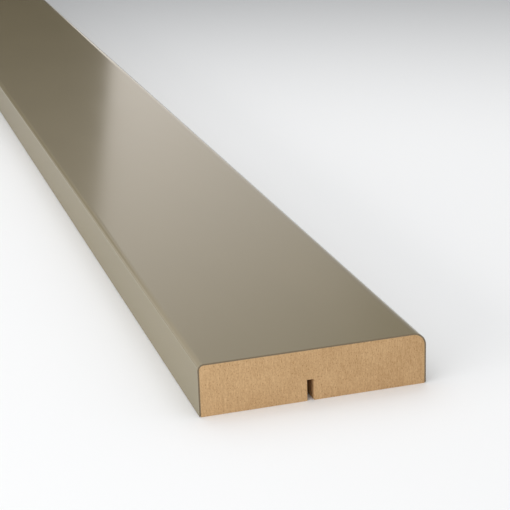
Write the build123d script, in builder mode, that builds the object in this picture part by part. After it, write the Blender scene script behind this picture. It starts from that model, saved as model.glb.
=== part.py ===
"""Kitchen decorative strip: a fibreboard bar with a decorative foil wrapped over its face and long sides.

X runs along the strip, Y across it and Z up out of the decorative face. The origin is the middle of the
back, which lies on Z = 0. All sizes are in millimetres.
"""

import os

from build123d import *

# Finished size, measured over the foil
strip_length = 2210.0
strip_width = 60.0
strip_thickness = 14.0

# Radii milled on the board's two face edges before it is wrapped
tight_edge_radius = 1.2
soft_edge_radius = 3.1

# Decorative foil, trimmed a little short of the back so that the board alone meets the wall
foil_thickness = 0.4
foil_setback = 0.2

# Relief groove sawn along the back, which lets a strip that is foiled on one side stay flat
groove_width = 1.8
groove_depth = 5.7
groove_offset = -1.1

# The bare board under the foil
core_width = strip_width - 2 * foil_thickness
core_thickness = strip_thickness - foil_thickness
core_side = core_width / 2

# Both sections are drawn on the sawn end, with the strip's width across and its thickness up
end_plane = Plane.YZ.offset(-strip_length / 2)

# Fibreboard core: a bar with two rounded face edges, less the groove
with BuildPart() as fibreboard_core:
    with BuildSketch(end_plane) as board_section:
        Rectangle(core_width, core_thickness, align=(Align.CENTER, Align.MIN))
        soft_corner = board_section.vertices().group_by(Axis.Y)[-1].sort_by(Axis.X)[-1]
        fillet(soft_corner, radius=soft_edge_radius)
        tight_corner = board_section.vertices().group_by(Axis.Y)[-1].sort_by(Axis.X)[0]
        fillet(tight_corner, radius=tight_edge_radius)
        with Locations((groove_offset, 0)):
            Rectangle(
                groove_width,
                groove_depth,
                align=(Align.CENTER, Align.MIN),
                mode=Mode.SUBTRACT,
            )
    extrude(amount=strip_length)
fibreboard_core.part.label = "fibreboard_core"

# Foil wrap: follows the board up one side, over the face and down the other, thickened outwards
with BuildPart() as foil_wrap:
    with BuildSketch(end_plane) as foil_section:
        with BuildLine() as wrapped_line:
            FilletPolyline(
                (-core_side, foil_setback),
                (-core_side, core_thickness),
                (core_side, core_thickness),
                (core_side, foil_setback),
                radius=[tight_edge_radius, soft_edge_radius],
            )
            offset(amount=foil_thickness, side=Side.LEFT)
        make_face()
    extrude(amount=strip_length)
foil_wrap.part.label = "foil_wrap"

os.makedirs("parts", exist_ok=True)
for piece in (fibreboard_core.part, foil_wrap.part):
    export_step(piece, f"parts/{piece.label}.step")
    print(piece.label, "volume", round(piece.volume), "mm3")
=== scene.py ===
# %% [markdown]
# This lesson dresses one length of kitchen decorative strip: a fibreboard bar with a glossy foil glued
# over its face and both long sides. The solid parts were drawn beforehand and are loaded here as a
# fixed frame, in metres, with X along the strip, Y across it and Z up. Nothing below moves them. We
# build a finer piece over each one.

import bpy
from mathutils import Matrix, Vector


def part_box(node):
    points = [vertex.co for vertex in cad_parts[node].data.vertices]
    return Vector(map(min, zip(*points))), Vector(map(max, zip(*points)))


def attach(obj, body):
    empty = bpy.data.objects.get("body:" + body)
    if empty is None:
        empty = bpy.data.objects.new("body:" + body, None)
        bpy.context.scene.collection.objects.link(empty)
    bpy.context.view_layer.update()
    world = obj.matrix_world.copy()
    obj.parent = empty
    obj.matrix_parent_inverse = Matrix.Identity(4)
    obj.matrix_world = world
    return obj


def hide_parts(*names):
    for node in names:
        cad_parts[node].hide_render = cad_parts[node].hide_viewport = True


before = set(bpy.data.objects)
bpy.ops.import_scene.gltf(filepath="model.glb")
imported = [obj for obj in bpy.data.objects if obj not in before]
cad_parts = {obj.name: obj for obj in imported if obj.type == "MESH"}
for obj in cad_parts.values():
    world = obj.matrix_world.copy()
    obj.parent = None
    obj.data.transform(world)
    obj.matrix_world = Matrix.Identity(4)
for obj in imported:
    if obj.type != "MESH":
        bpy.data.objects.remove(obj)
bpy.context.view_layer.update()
print("frame pieces:", sorted(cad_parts))

# %% [markdown]
# Sizes come from the frame wherever its boxes can tell them: the length, the bare board's width and
# thickness, and the foil's thickness. Only what a box can't tell is written out: the two edge radii,
# which differ, and the relief groove sawn along the back.

# %% Sizes of the strip
mm = 0.001
board_low, board_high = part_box("fibreboard_core")
foil_low, foil_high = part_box("foil_wrap")

strip_length = board_high.x - board_low.x
board_width = board_high.y - board_low.y
board_thickness = board_high.z - board_low.z
foil_thickness = foil_high.z - board_high.z
foil_setback = foil_low.z - board_low.z

tight_radius = 1.2 * mm
soft_radius = 3.1 * mm
groove_width = 1.8 * mm
groove_depth = 5.7 * mm
groove_offset = -1.1 * mm
print("board", round(board_width / mm, 2), "x", round(board_thickness / mm, 2), "mm")
print("foil", round(foil_thickness / mm, 2), "mm thick")
print("foil stops", round(foil_setback / mm, 2), "mm above the back")

# %% [markdown]
# Node trees are hard to read when every link is a line of code. Here a wire stands for one socket, and
# adding or multiplying wires adds the Math nodes, so a formula can be read as a formula. Any other node
# comes from one method, which takes the node's type, then its settings, then what goes into its
# sockets. The same class serves the trees that make shapes and the trees that make finishes.

# %% A wire between nodes
import bpy


class Wire:
    """One socket of a node tree, which Python's operators work on."""

    def __init__(self, tree, socket=None):
        self.tree = tree
        self.socket = socket

    def node(self, kind, settings=None, inputs=None, output=0):
        """Adds a node, with its settings made first, and returns one of its outputs as a wire."""
        made = self.tree.nodes.new(kind)
        for name, value in (settings or {}).items():
            if name == "choices":
                for _ in range(value - len(made.index_switch_items)):
                    made.index_switch_items.new()
            else:
                setattr(made, name, value)
        for name, value in (inputs or {}).items():
            for item in value if isinstance(value, list) else [value]:
                if isinstance(item, Wire):
                    self.tree.links.new(item.socket, made.inputs[name])
                else:
                    made.inputs[name].default_value = item
        return Wire(self.tree, made.outputs[output]) if made.outputs else None

    def maths(self, operation, *values):
        return self.node("ShaderNodeMath", {"operation": operation}, dict(enumerate(values)))

    def __add__(self, other):
        return self.maths("ADD", self, other)

    def __radd__(self, other):
        return self.maths("ADD", other, self)

    def __sub__(self, other):
        return self.maths("SUBTRACT", self, other)

    def __rsub__(self, other):
        return self.maths("SUBTRACT", other, self)

    def __mul__(self, other):
        return self.maths("MULTIPLY", self, other)

    def __rmul__(self, other):
        return self.maths("MULTIPLY", other, self)

    def __truediv__(self, other):
        return self.maths("DIVIDE", self, other)

    def __gt__(self, other):
        return self.maths("GREATER_THAN", self, other)

    def __lt__(self, other):
        return self.maths("LESS_THAN", self, other)

    def __abs__(self):
        return self.maths("ABSOLUTE", self)

    def share(self):
        """The value held between 0 and 1."""
        return self.maths("MAXIMUM", self.maths("MINIMUM", self, 1.0), 0.0)

    def ease(self, start, end):
        """0 at start and 1 at end, with a soft change between them."""
        sockets = {"Value": self, 1: start, 2: end}
        return self.node("ShaderNodeMapRange", {"interpolation_type": "SMOOTHSTEP"}, sockets)

    def split(self):
        x = self.node("ShaderNodeSeparateXYZ", None, {"Vector": self})
        return [Wire(self.tree, socket) for socket in x.socket.node.outputs]

    def vector(self, x=0.0, y=0.0, z=0.0):
        return self.node("ShaderNodeCombineXYZ", None, {"X": x, "Y": y, "Z": z})

    def noise(self, vector, detail=2.0, roughness=0.5):
        """Smooth noise about 0.5, with a lump or so to each unit of the vector."""
        sockets = {"Vector": vector, "Scale": 1.0, "Detail": detail, "Roughness": roughness}
        return self.node("ShaderNodeTexNoise", None, sockets)

    def blend(self, mask, first, second):
        """A colour between first and second, by a mask from 0 to 1."""
        return self.node("ShaderNodeMix", {"data_type": "RGBA"}, {0: mask, 6: first, 7: second}, 2)


print("wires are ready, in Blender", bpy.app.version_string)

# %% [markdown]
# A shape recipe is a Geometry Nodes tree with named inputs for its sizes. Baking it means letting
# Blender work the tree out once and keeping the plain mesh. The inputs are set through each socket's
# identifier, because the names in the interface are only labels, and the modifier goes away afterwards.

# %% Recipes for shapes
SOCKET_OF = {
    int: "NodeSocketInt",
    float: "NodeSocketFloat",
    bpy.types.Material: "NodeSocketMaterial",
}


def new_recipe(name, sizes):
    """An empty shape tree, and a wire from each of its named inputs."""
    tree = bpy.data.node_groups.new(name, "GeometryNodeTree")
    tree.interface.new_socket("Mesh", in_out="OUTPUT", socket_type="NodeSocketGeometry")
    for size_name, value in sizes.items():
        tree.interface.new_socket(size_name, in_out="INPUT", socket_type=SOCKET_OF[type(value)])
    sockets = tree.nodes.new("NodeGroupInput").outputs
    return tree, {size_name: Wire(tree, sockets[size_name]) for size_name in sizes}


def bake_piece(name, tree, sizes):
    """Works a finished tree out with these sizes and returns an object that holds the plain mesh."""
    piece = bpy.data.objects.new(name, bpy.data.meshes.new(name))
    bpy.context.scene.collection.objects.link(piece)
    modifier = piece.modifiers.new("recipe", "NODES")
    modifier.node_group = tree
    for socket in tree.interface.items_tree:
        if socket.in_out == "INPUT":
            modifier[socket.identifier] = sizes[socket.name]
    graph = bpy.context.evaluated_depsgraph_get()
    solid = bpy.data.meshes.new_from_object(piece.evaluated_get(graph), depsgraph=graph)
    piece.modifiers.remove(modifier)
    piece.data = solid
    solid.calc_loop_triangles()
    print(name, "has", len(solid.loop_triangles), "triangles")
    return piece


print("a recipe takes inputs of", len(SOCKET_OF), "kinds")

# %% [markdown]
# Both pieces of the strip have one section all along, as anything does that is planed or wrapped on a
# line. So both recipes draw a flat section and share this step: stretch it to length, close the far end
# with a copy that faces the other way, and weld the two. A second step keeps rounds smooth and arrises
# crisp.

# %% Stretch a section into a bar
WELD = 0.001 * mm
ARRIS_ANGLE = 0.6


def stretch(section, length):
    """A flat section in the YZ plane, facing +X, as a closed bar with its middle at X = 0."""
    back = section.vector(length * -0.5)
    far_end = section.node("GeometryNodeSetPosition", None, {"Geometry": section, "Offset": back})
    along = {"Mesh": far_end, "Offset": section.vector(length), "Offset Scale": 1.0, "Individual": False}
    drawn = section.node("GeometryNodeExtrudeMesh", {"mode": "FACES"}, along)
    cap = section.node("GeometryNodeFlipFaces", None, {"Mesh": far_end})
    both = section.node("GeometryNodeJoinGeometry", None, {"Geometry": [drawn, cap]})
    return section.node("GeometryNodeMergeByDistance", None, {"Geometry": both, "Distance": WELD})


def crisp(mesh):
    """Smooth shading, with a hard line where two faces meet at more than the arris angle."""
    turn = mesh.node("GeometryNodeInputMeshEdgeAngle")
    faces = {"Geometry": mesh, "Shade Smooth": True}
    smooth = mesh.node("GeometryNodeSetShadeSmooth", {"domain": "FACE"}, faces)
    arrises = {"Geometry": smooth, "Shade Smooth": turn < ARRIS_ANGLE}
    return mesh.node("GeometryNodeSetShadeSmooth", {"domain": "EDGE"}, arrises)


print("faces that turn by more than", ARRIS_ANGLE, "radians meet in a hard line")

# %% [markdown]
# Raw fibreboard is felted wood fibre pressed with resin. On a sawn end it shows as fine grain, short
# upright streaks where the saw has combed the fibre, and scattered dark pits. The colours are mixed
# from a light and a dark fibre by noise at those sizes. A painted shade darkens the board slightly
# across its width, towards +Y, as light that falls off from the left would. The relief that the shape
# recipe leaves on the mesh, as an attribute, darkens the low places: painted shade in the hollows, so
# the colour and the shape agree. Noise was chosen over painting because it has no seam and no edge.

# %% Fibreboard finish
def new_finish(name):
    material = bpy.data.materials.new(name)
    material.use_nodes = True
    material.node_tree.nodes.clear()
    return material, Wire(material.node_tree)


def in_millimetres(sheet):
    """X, Y and Z of a spot on the piece, in millimetres."""
    place = sheet.node("ShaderNodeTexCoord", None, None, "Object")
    return [axis / mm for axis in place.split()]


def fibreboard_finish():
    material, sheet = new_finish("raw_fibreboard")
    x, y, z = in_millimetres(sheet)
    grain = sheet.noise(sheet.vector(x * 2.6, y * 3.0, z * 1.7), 3.0, 0.65)
    streak = sheet.noise(sheet.vector(x * 1.1, y * 3.4, z * 0.8), 2.0, 0.5)
    comb = sheet.noise(sheet.vector(x * 0.7, y * 2.8, z * 0.25), 1.0, 0.5)
    pits = sheet.noise(sheet.vector(x * 3.0, y * 3.0, z * 2.2), 0.0, 0.5).ease(0.66, 0.8)
    cloud = sheet.noise(sheet.vector(x * 0.05, y * 0.12, z * 0.16), 2.0, 0.5)
    # painted shade in the hollows: the relief's depth darkens the low places of the sawn ends
    low = sheet.node("ShaderNodeAttribute", {"attribute_name": "relief"}, None, "Fac")
    # painted shade: the board's colour darkens across its width towards +Y, where the light falls off
    painted_shade_across = y * 0.0028
    tone = grain + streak * 0.55 + comb * 0.3 + cloud * 0.3 - low * 0.2 - pits * 0.5 - painted_shade_across
    tone = (tone - 0.535).share()
    colour = sheet.blend(tone, (0.37, 0.214, 0.092, 1.0), (0.695, 0.47, 0.255, 1.0))
    relief = {"Strength": 0.5, "Distance": 0.05 * mm, "Height": grain}
    bump = sheet.node("ShaderNodeBump", None, relief)
    roughness = 0.92 - streak * 0.12
    sockets = {"Base Color": colour, "Roughness": roughness, "Normal": bump, "Specular IOR Level": 0.25}
    shader = sheet.node("ShaderNodeBsdfPrincipled", None, sockets)
    sheet.node("ShaderNodeOutputMaterial", None, {"Surface": shader})
    return material


fibreboard = fibreboard_finish()
print("finish:", fibreboard.name, "with", len(fibreboard.node_tree.nodes), "nodes")

# %% [markdown]
# The foil is a taupe plastic film with a clear glossy face. What makes it read as gloss is a low
# roughness and what it mirrors. A real film is never quite even: it has a faint orange peel, its gloss
# drifts a little from place to place, and a thin haze lies over the clear gloss. One roughness can't
# give both gloss and haze, so two shaders of the same colour are mixed: mostly a clear one, and a share
# of a hazy one. The haze has a second use: without it the denoiser takes the far part of the face for a
# mirror, and draws a faint line where that begins. The long sides are duller than the face, which
# changes over at the heights given here in millimetres. Where the saw has cut the film, only its dull,
# darker core shows.

# %% Foil finishes
HAZE_SHARE = 0.18
HAZE_ROUGHNESS = 0.2
DULL_FROM = 13.7
DULL_BY = 12.3


def foil_finish():
    material, sheet = new_finish("taupe_foil")
    x, y, z = in_millimetres(sheet)
    drift = sheet.noise(sheet.vector(x * 0.02, y * 0.05, z * 0.05), 2.0, 0.5)
    peel = sheet.noise(sheet.vector(x * 0.45, y * 0.45, z * 0.45), 1.0, 0.4)
    colour = sheet.blend(drift, (0.200, 0.167, 0.100, 1.0), (0.220, 0.183, 0.110, 1.0))
    relief = {"Strength": 0.2, "Distance": 0.002 * mm, "Height": peel}
    bump = sheet.node("ShaderNodeBump", None, relief)
    dulled = z.ease(DULL_FROM, DULL_BY)
    roughness = 0.10 + drift * 0.04 + dulled * 0.27
    sockets = {"Base Color": colour, "Roughness": roughness, "Normal": bump, "IOR": 1.5}
    clear = sheet.node("ShaderNodeBsdfPrincipled", None, sockets)
    sockets["Roughness"] = roughness + HAZE_ROUGHNESS
    hazy = sheet.node("ShaderNodeBsdfPrincipled", None, sockets)
    shader = sheet.node("ShaderNodeMixShader", None, {0: HAZE_SHARE, 1: clear, 2: hazy})
    sheet.node("ShaderNodeOutputMaterial", None, {"Surface": shader})
    return material


def foil_cut_finish():
    material, sheet = new_finish("sawn_foil")
    x, y, z = in_millimetres(sheet)
    drag = sheet.noise(sheet.vector(x * 4.0, y * 3.0, z * 3.0), 2.0, 0.6)
    colour = sheet.blend(drag, (0.11, 0.085, 0.052, 1.0), (0.23, 0.175, 0.105, 1.0))
    sockets = {"Base Color": colour, "Roughness": 0.55 + drag * 0.25}
    shader = sheet.node("ShaderNodeBsdfPrincipled", None, sockets)
    sheet.node("ShaderNodeOutputMaterial", None, {"Surface": shader})
    return material


foil_gloss = foil_finish()
foil_cut = foil_cut_finish()
print("finishes:", foil_gloss.name, "and", foil_cut.name)

# %% [markdown]
# The board is a planed bar with two rounded face edges and a relief groove in its back. Its section
# could be cut from a plain outline, but the sawn ends need many small faces to carry the torn fibre. So
# the recipe bends a grid into the section instead: the first and last columns walk round the two edges,
# the columns between them are flat, and the faces that fall in the groove are deleted. Two bands of
# rows meet at the height of the groove's roof.

# %% Bend a grid into the board's section
from math import pi


def board_section(size):
    """The board's section as a fine grid in the YZ plane, facing +X."""
    start = size["Width"]
    edge_of_left = size["Tight columns"]
    edge_of_groove = edge_of_left + size["Left columns"]
    edge_of_right = edge_of_groove + size["Groove columns"]
    edge_of_soft = edge_of_right + size["Right columns"]
    columns = edge_of_soft + size["Soft columns"]
    rows = size["Lower rows"] + size["Upper rows"]
    counts = {"Size X": 1.0, "Size Y": 1.0, "Vertices X": columns + 1, "Vertices Y": rows + 1}
    grid = start.node("GeometryNodeMeshGrid", None, counts)
    across, up, _ = start.node("GeometryNodeInputPosition").split()
    column = (across + 0.5) * columns
    row = (up + 0.5) * rows

    tight_turn = (column / size["Tight columns"]).share() * (pi / 2)
    soft_turn = ((columns - column) / size["Soft columns"]).share() * (pi / 2)
    half_width = size["Width"] * 0.5
    half_groove = size["Groove width"] * 0.5
    left_flat = half_width + size["Groove offset"] - half_groove - size["Tight radius"]
    right_flat = half_width - size["Groove offset"] - half_groove - size["Soft radius"]
    y = (
        size["Tight radius"] * (1 - start.maths("COSINE", tight_turn))
        + left_flat * ((column - edge_of_left) / size["Left columns"]).share()
        + size["Groove width"] * ((column - edge_of_groove) / size["Groove columns"]).share()
        + right_flat * ((column - edge_of_right) / size["Right columns"]).share()
        + size["Soft radius"] * start.maths("COSINE", soft_turn)
        - half_width
    )
    top = (
        size["Thickness"]
        - size["Tight radius"] * (1 - start.maths("SINE", tight_turn))
        - size["Soft radius"] * (1 - start.maths("SINE", soft_turn))
    )
    lower = (row / size["Lower rows"]).share()
    upper = ((row - size["Lower rows"]) / size["Upper rows"]).share()
    z = size["Groove depth"] * lower + (top - size["Groove depth"]) * upper

    section = {"Geometry": grid, "Position": start.vector(0.0, y, z)}
    bent = start.node("GeometryNodeSetPosition", None, section)
    _, face_y, face_z = start.node("GeometryNodeInputPosition").split()
    in_groove = (abs(face_y - size["Groove offset"]) < half_groove) * (face_z < size["Groove depth"])
    cut = {"Geometry": bent, "Selection": in_groove}
    return start.node("GeometryNodeDeleteGeometry", {"domain": "FACE"}, cut)


print("rounds of", round(tight_radius / mm, 1), "and", round(soft_radius / mm, 1), "mm")
print("groove", round(groove_width / mm, 1), "mm wide and", round(groove_depth / mm, 1), "mm deep")

# %% [markdown]
# The saw leaves the end a little rough: fibre stands in short upright ridges, and loose knots of fibre
# pull out and leave pits. A bump in the finish could suggest this, but real relief also catches the
# light at the edges. A few hundredths of a millimetre is enough. It only goes inwards, so the strip
# stays its true length. The depth is also kept as an attribute, which the finish reads to paint shade
# into the low places.

# %% Roughen the sawn ends
relief_depth = 0.06 * mm


def sawn_ends(bar, size):
    """The bar with its two ends roughened by up to the relief's depth."""
    x, y, z = bar.node("GeometryNodeInputPosition").split()
    side = bar.maths("SIGN", x)
    far = side * 40.0 + size["Seed"]
    ridges = bar.noise(bar.vector(far, y / mm * 3.2, z / mm * 0.7), 2.0, 0.5)
    fibre = bar.noise(bar.vector(far, y / mm * 2.2, z / mm * 2.2), 2.0, 0.6)
    pits = bar.noise(bar.vector(far, y / mm * 1.3, z / mm * 1.3), 0.0, 0.5).ease(0.68, 0.8)
    depth = (ridges * 0.5 + fibre * 0.5 - 0.2 + pits * 0.5).share()
    on_end = abs(x) > size["Length"] * 0.5 - 1.0 * mm
    inwards = bar.vector(side * depth * size["Relief"] * -1.0)
    moved = {"Geometry": bar, "Selection": on_end, "Offset": inwards}
    rough = bar.node("GeometryNodeSetPosition", None, moved)
    kept = {"Geometry": rough, "Selection": on_end, "Name": "relief", "Value": depth}
    return bar.node("GeometryNodeStoreNamedAttribute", {"data_type": "FLOAT", "domain": "POINT"}, kept)


print("the saw's marks are up to", round(relief_depth / mm, 2), "mm deep")

# %% [markdown]
# Now the board can be made: bend the section, stretch it, roughen its ends and give it its finish. The
# grid's step decides how fine the torn fibre can be. A quarter of a millimetre is about one pixel of
# the picture, so a finer grid would only make the mesh heavier.

# %% Make the board
grid_step = 0.25 * mm
left_flat_width = board_width / 2 + groove_offset - groove_width / 2 - tight_radius
right_flat_width = board_width / 2 - groove_offset - groove_width / 2 - soft_radius
board_sizes = {
    "Length": strip_length,
    "Width": board_width,
    "Thickness": board_thickness,
    "Tight radius": tight_radius,
    "Soft radius": soft_radius,
    "Groove width": groove_width,
    "Groove depth": groove_depth,
    "Groove offset": groove_offset,
    "Tight columns": 12,
    "Left columns": round(left_flat_width / grid_step),
    "Groove columns": round(groove_width / grid_step),
    "Right columns": round(right_flat_width / grid_step),
    "Soft columns": 20,
    "Lower rows": round(groove_depth / grid_step),
    "Upper rows": round((board_thickness - groove_depth) / grid_step),
    "Relief": relief_depth,
    "Seed": 3,
    "Finish": fibreboard,
}
board_tree, board_size = new_recipe("board_recipe", board_sizes)
board_mesh = crisp(sawn_ends(stretch(board_section(board_size), board_size["Length"]), board_size))
board_mesh = board_mesh.node("GeometryNodeRealizeInstances", None, {"Geometry": board_mesh})
on_board = {"Geometry": board_mesh, "Material": board_size["Finish"]}
board_mesh = board_mesh.node("GeometryNodeSetMaterial", None, on_board)
board_mesh.node("NodeGroupOutput", None, {"Mesh": board_mesh})
board = bake_piece("board", board_tree, board_sizes)
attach(board, "root")
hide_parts("fibreboard_core")

# %% [markdown]
# The foil is one film that follows the board up one side, round the tight edge, over the face, round
# the soft edge and down the other side. It could be thickened from the board's faces, but then its edge
# at the back would be hard to place. So its recipe is a path along the board's surface, with its
# corners filleted to the board's radii, and a short line swept along it that points outwards and is as
# long as the film is thick. Extra points beside each corner keep the wide face truly flat, because
# shading is averaged where a flat meets a round.

# %% Wrap the foil's section
def foil_section(size):
    """The foil's section as a ribbon in the YZ plane, facing +X."""
    start = size["Width"]
    side = size["Width"] * 0.5
    top = size["Thickness"]
    foot = size["Setback"]
    tight = size["Tight radius"] + size["Support"]
    soft = size["Soft radius"] + size["Support"]
    points = [
        (side * -1.0, foot),
        (side * -1.0, top - tight),
        (side * -1.0, top),
        (tight - side, top),
        (side - soft, top),
        (side, top),
        (side, top - soft),
        (side, foot),
    ]
    index = start.node("GeometryNodeInputIndex")
    row = start.node("GeometryNodeMeshLine", None, {"Count": len(points)})
    line = start.node("GeometryNodeMeshToCurve", None, {"Mesh": row})
    spots = {1 + n: start.vector(across, up) for n, (across, up) in enumerate(points)}
    settings = {"data_type": "VECTOR", "choices": len(points)}
    spot = start.node("GeometryNodeIndexSwitch", settings, {"Index": index, **spots})
    path = start.node("GeometryNodeSetPosition", None, {"Geometry": line, "Position": spot})
    at_tight = abs(index - 2.0) < 0.5
    at_soft = abs(index - 5.0) < 0.5
    radius = at_tight * size["Tight radius"] + at_soft * size["Soft radius"]
    rounded = {"Curve": path, "Count": size["Arc steps"], "Radius": radius}
    wrap = start.node("GeometryNodeFilletCurve", {"mode": "POLY"}, rounded)
    upright = start.node("GeometryNodeSetCurveNormal", {"mode": "Z_UP"}, {"Curve": wrap})
    outside = start.vector(size["Foil thickness"] * -1.0)
    film = {"Start": outside, "End": (0.0, 0.0, 0.0)}
    through = start.node("GeometryNodeCurvePrimitiveLine", None, film)
    ribbon = start.node("GeometryNodeCurveToMesh", None, {"Curve": upright, "Profile Curve": through})
    across, up, _ = start.node("GeometryNodeInputPosition").split()
    stood = start.vector(0.0, across, up)
    return start.node("GeometryNodeSetPosition", None, {"Geometry": ribbon, "Position": stood})


sides = 2 * (board_thickness - foil_setback)
saved_by_rounds = (2 - pi / 2) * (tight_radius + soft_radius)
print("unwrapped, the foil is", round((sides + board_width - saved_by_rounds) / mm, 1), "mm wide")

# %% [markdown]
# The foil needs two finishes: gloss on its faces, and the dull cut where the saw went through it. The
# recipe tells them apart by which way a face looks, because only the sawn ends look along the strip.

# %% Make the foil
foil_sizes = {
    "Length": strip_length,
    "Width": board_width,
    "Thickness": board_thickness,
    "Setback": foil_setback,
    "Tight radius": tight_radius,
    "Soft radius": soft_radius,
    "Foil thickness": foil_thickness,
    "Support": 0.25 * mm,
    "Arc steps": 24,
    "Finish": foil_gloss,
    "Cut finish": foil_cut,
}
foil_tree, foil_size = new_recipe("foil_recipe", foil_sizes)
foil_mesh = crisp(stretch(foil_section(foil_size), foil_size["Length"]))
foil_mesh = foil_mesh.node("GeometryNodeRealizeInstances", None, {"Geometry": foil_mesh})
facing = foil_mesh.node("GeometryNodeInputNormal").split()[0]
on_faces = {"Geometry": foil_mesh, "Material": foil_size["Finish"]}
foil_mesh = foil_mesh.node("GeometryNodeSetMaterial", None, on_faces)
on_cut = {"Geometry": foil_mesh, "Selection": abs(facing) > 0.5, "Material": foil_size["Cut finish"]}
foil_mesh = foil_mesh.node("GeometryNodeSetMaterial", None, on_cut)
foil_mesh.node("NodeGroupOutput", None, {"Mesh": foil_mesh})
foil = bake_piece("foil", foil_tree, foil_sizes)
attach(foil, "root")
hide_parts("foil_wrap")

# %% [markdown]
# The strip lies on a pale floor in soft studio light. The floor is a large sheet, so that views from
# far off still show floor behind the strip. It pales round the near end and greys off with distance, as
# a lit sweep does. The greying is in the floor's colour, which is easier to steer than a lamp that
# fades.

# %% Floor
from mathutils import Matrix, Vector

near_end = Vector((board_high.x, 0.0, 0.0))
floor_half = 60.0
floor_drop = 0.02 * mm
floor_pale = (0.93, 0.93, 0.93, 1.0)
floor_grey = (0.46, 0.465, 0.47, 1.0)


def floor_finish():
    material, sheet = new_finish("floor")
    place = sheet.node("ShaderNodeTexCoord", None, None, "Object")
    offset = sheet.node("ShaderNodeVectorMath", {"operation": "SUBTRACT"}, {0: place, 1: near_end})
    distance = sheet.node("ShaderNodeVectorMath", {"operation": "LENGTH"}, {0: offset}, "Value")
    colour = sheet.blend(distance.ease(0.22, 0.76), floor_pale, floor_grey)
    sockets = {"Base Color": colour, "Roughness": 0.9, "Specular IOR Level": 0.1}
    shader = sheet.node("ShaderNodeBsdfPrincipled", None, sockets)
    sheet.node("ShaderNodeOutputMaterial", None, {"Surface": shader})
    return material


floor_mesh = bpy.data.meshes.new("floor")
signs = ((-1, -1), (1, -1), (1, 1), (-1, 1))
corners = [(x * floor_half, y * floor_half, -floor_drop) for x, y in signs]
floor_mesh.from_pydata(corners, [], [(0, 1, 2, 3)])
floor_mesh.materials.append(floor_finish())
floor = bpy.data.objects.new("floor", floor_mesh)
bpy.context.scene.collection.objects.link(floor)
print("floor", 2 * floor_half, "m square")

# %% [markdown]
# Gloss needs something to mirror. Behind the strip stands a card, seen only in reflections: a broad
# warm glow that fades upwards and to the right, with a dark patch low in its middle. The patch's right
# edge is the clean line where the sheen on the strip's face begins. A lamp would give a hard-edged
# highlight, and a card can fade. Brightness is set out in metres on the card.

# %% Reflection card
card_x = -1.4
card_low = (-1.8, 0.0)
card_high = (2.6, 1.8)


def card_finish():
    material, sheet = new_finish("card")
    _, y, z = sheet.node("ShaderNodeTexCoord", None, None, "Object").split()
    sheen_edge = 0.437 - (z - 0.516) * 0.148
    patch = (y - sheen_edge).ease(0.01, -0.01) * y.ease(-1.08, -0.57) * z.ease(0.93, 0.81)
    fade_up = (z - 0.52) * 0.62 + (z - 0.8).share() * 0.7
    fade_right = (y - 0.6) * 0.92 + y.ease(0.88, 1.0) * 0.12
    bright = 1.3 - fade_up - fade_right
    cap = 1.0 + y.ease(0.2, 0.4) * 0.35
    bright = sheet.maths("MAXIMUM", sheet.maths("MINIMUM", bright, cap), 0.03)
    dark = (z - 0.37).share() * 0.68
    glow = bright + (dark - bright) * patch
    warm = {0: (1.0, 0.95, 0.90), "Scale": glow}
    colour = sheet.node("ShaderNodeVectorMath", {"operation": "SCALE"}, warm)
    shader = sheet.node("ShaderNodeEmission", None, {"Color": colour, "Strength": 1.0})
    sheet.node("ShaderNodeOutputMaterial", None, {"Surface": shader})
    return material


card_mesh = bpy.data.meshes.new("card")
(y0, z0), (y1, z1) = card_low, card_high
corners = [(card_x, y0, z0), (card_x, y1, z0), (card_x, y1, z1), (card_x, y0, z1)]
card_mesh.from_pydata(corners, [], [(0, 1, 2, 3)])
card_mesh.materials.append(card_finish())
card_mesh.materials[0].cycles.emission_sampling = "NONE"
card = bpy.data.objects.new("card", card_mesh)
bpy.context.scene.collection.objects.link(card)
card.visible_camera = False
card.visible_diffuse = False
card.visible_shadow = False
print("card stands", round(board_low.x - card_x, 2), "m behind the far end")

# %% [markdown]
# Four softboxes light the strip: a long one low on the left, and one in front of the sawn end, one
# behind it and one over it. Reflections don't see them, because the gloss would show them as white
# bars; it mirrors the card instead. A panel's brightness is given as it would look, where 1 is white,
# and Blender's lamp power follows from it and the panel's area.

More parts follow.
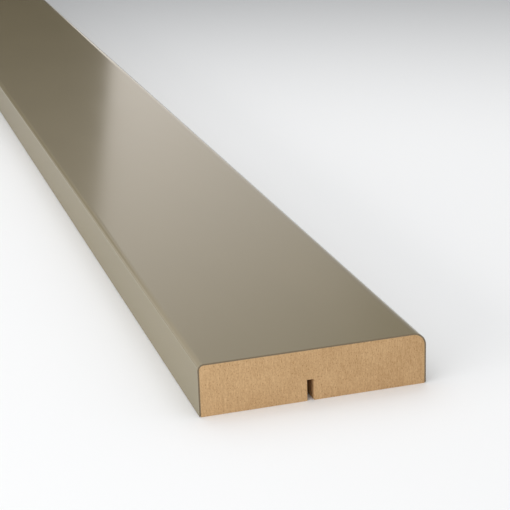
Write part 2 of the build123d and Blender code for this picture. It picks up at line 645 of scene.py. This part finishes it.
# %% Softboxes
def softbox(name, width, height, place, target, brightness):
    """A panel that shines from one place towards another, both measured from the near end."""
    lamp = bpy.data.lights.new(name, "AREA")
    lamp.shape = "RECTANGLE"
    lamp.size = width
    lamp.size_y = height
    lamp.energy = pi * width * height * brightness
    panel = bpy.data.objects.new(name, lamp)
    bpy.context.scene.collection.objects.link(panel)
    panel.location = near_end + Vector(place)
    panel.rotation_euler = (Vector(target) - Vector(place)).to_track_quat("-Z", "Y").to_euler()
    panel.visible_camera = False
    panel.visible_glossy = False
    print(name, round(lamp.energy, 2), "W")


softbox("left_box", 1.2, 0.24, (0.25, -0.85, 0.21), (0.0, 0.0, 0.0), 6.4)
softbox("front_box", 1.6, 0.6, (1.2, -0.1, 0.4), (0.0, 0.0, 0.0), 0.2)
softbox("back_box", 0.8, 0.8, (-0.6, 0.0, 0.7), (0.0, 0.0, 0.0), 0.66)
softbox("top_box", 0.6, 0.6, (0.05, -0.05, 0.5), (0.05, -0.05, 0.0), 0.34)

# %% [markdown]
# The rest of the light comes from all round, from a plain and almost white world, so that shadows are
# only soft bands beside the strip. The Standard view leaves a colour about as it was written.

# %% Light from all round
world_strength = 0.7
world = bpy.data.worlds.new("studio")
bpy.context.scene.world = world
world.use_nodes = True
world.node_tree.nodes.clear()
sky = Wire(world.node_tree)
glow = {"Color": (0.98, 0.99, 1.0, 1.0), "Strength": world_strength}
backdrop = sky.node("ShaderNodeBackground", None, glow)
sky.node("ShaderNodeOutputWorld", None, {"Surface": backdrop})
bpy.context.scene.view_settings.view_transform = "Standard"
print("the world shines at", world_strength)

# %% [markdown]
# The camera stands in front of the sawn end, to the left and above, and looks along the strip. Its
# place and angles were found by fitting the strip's straight edges. A long lens keeps the far end
# large.

# %% Camera
from math import radians

camera_offset = Vector((332.8, -112.1, 158.2)) * mm
camera_heading = radians(16.35)
camera_pitch = radians(18.786)
camera_roll = radians(-1.845)

lens = bpy.data.cameras.new("camera")
lens.sensor_width = 36.0
lens.lens = 107.82
lens.clip_start = 0.01
lens.clip_end = 200.0
camera = bpy.data.objects.new("camera", lens)
bpy.context.scene.collection.objects.link(camera)
stand = Matrix.Translation(near_end + camera_offset)
heading = Matrix.Rotation(pi / 2 - camera_heading, 4, "Z")
pitch = Matrix.Rotation(pi / 2 - camera_pitch, 4, "X")
roll = Matrix.Rotation(camera_roll, 4, "Z")
camera.matrix_world = stand @ heading @ pitch @ roll
bpy.context.scene.camera = camera
print("camera at", [round(value, 3) for value in camera.matrix_world.translation])
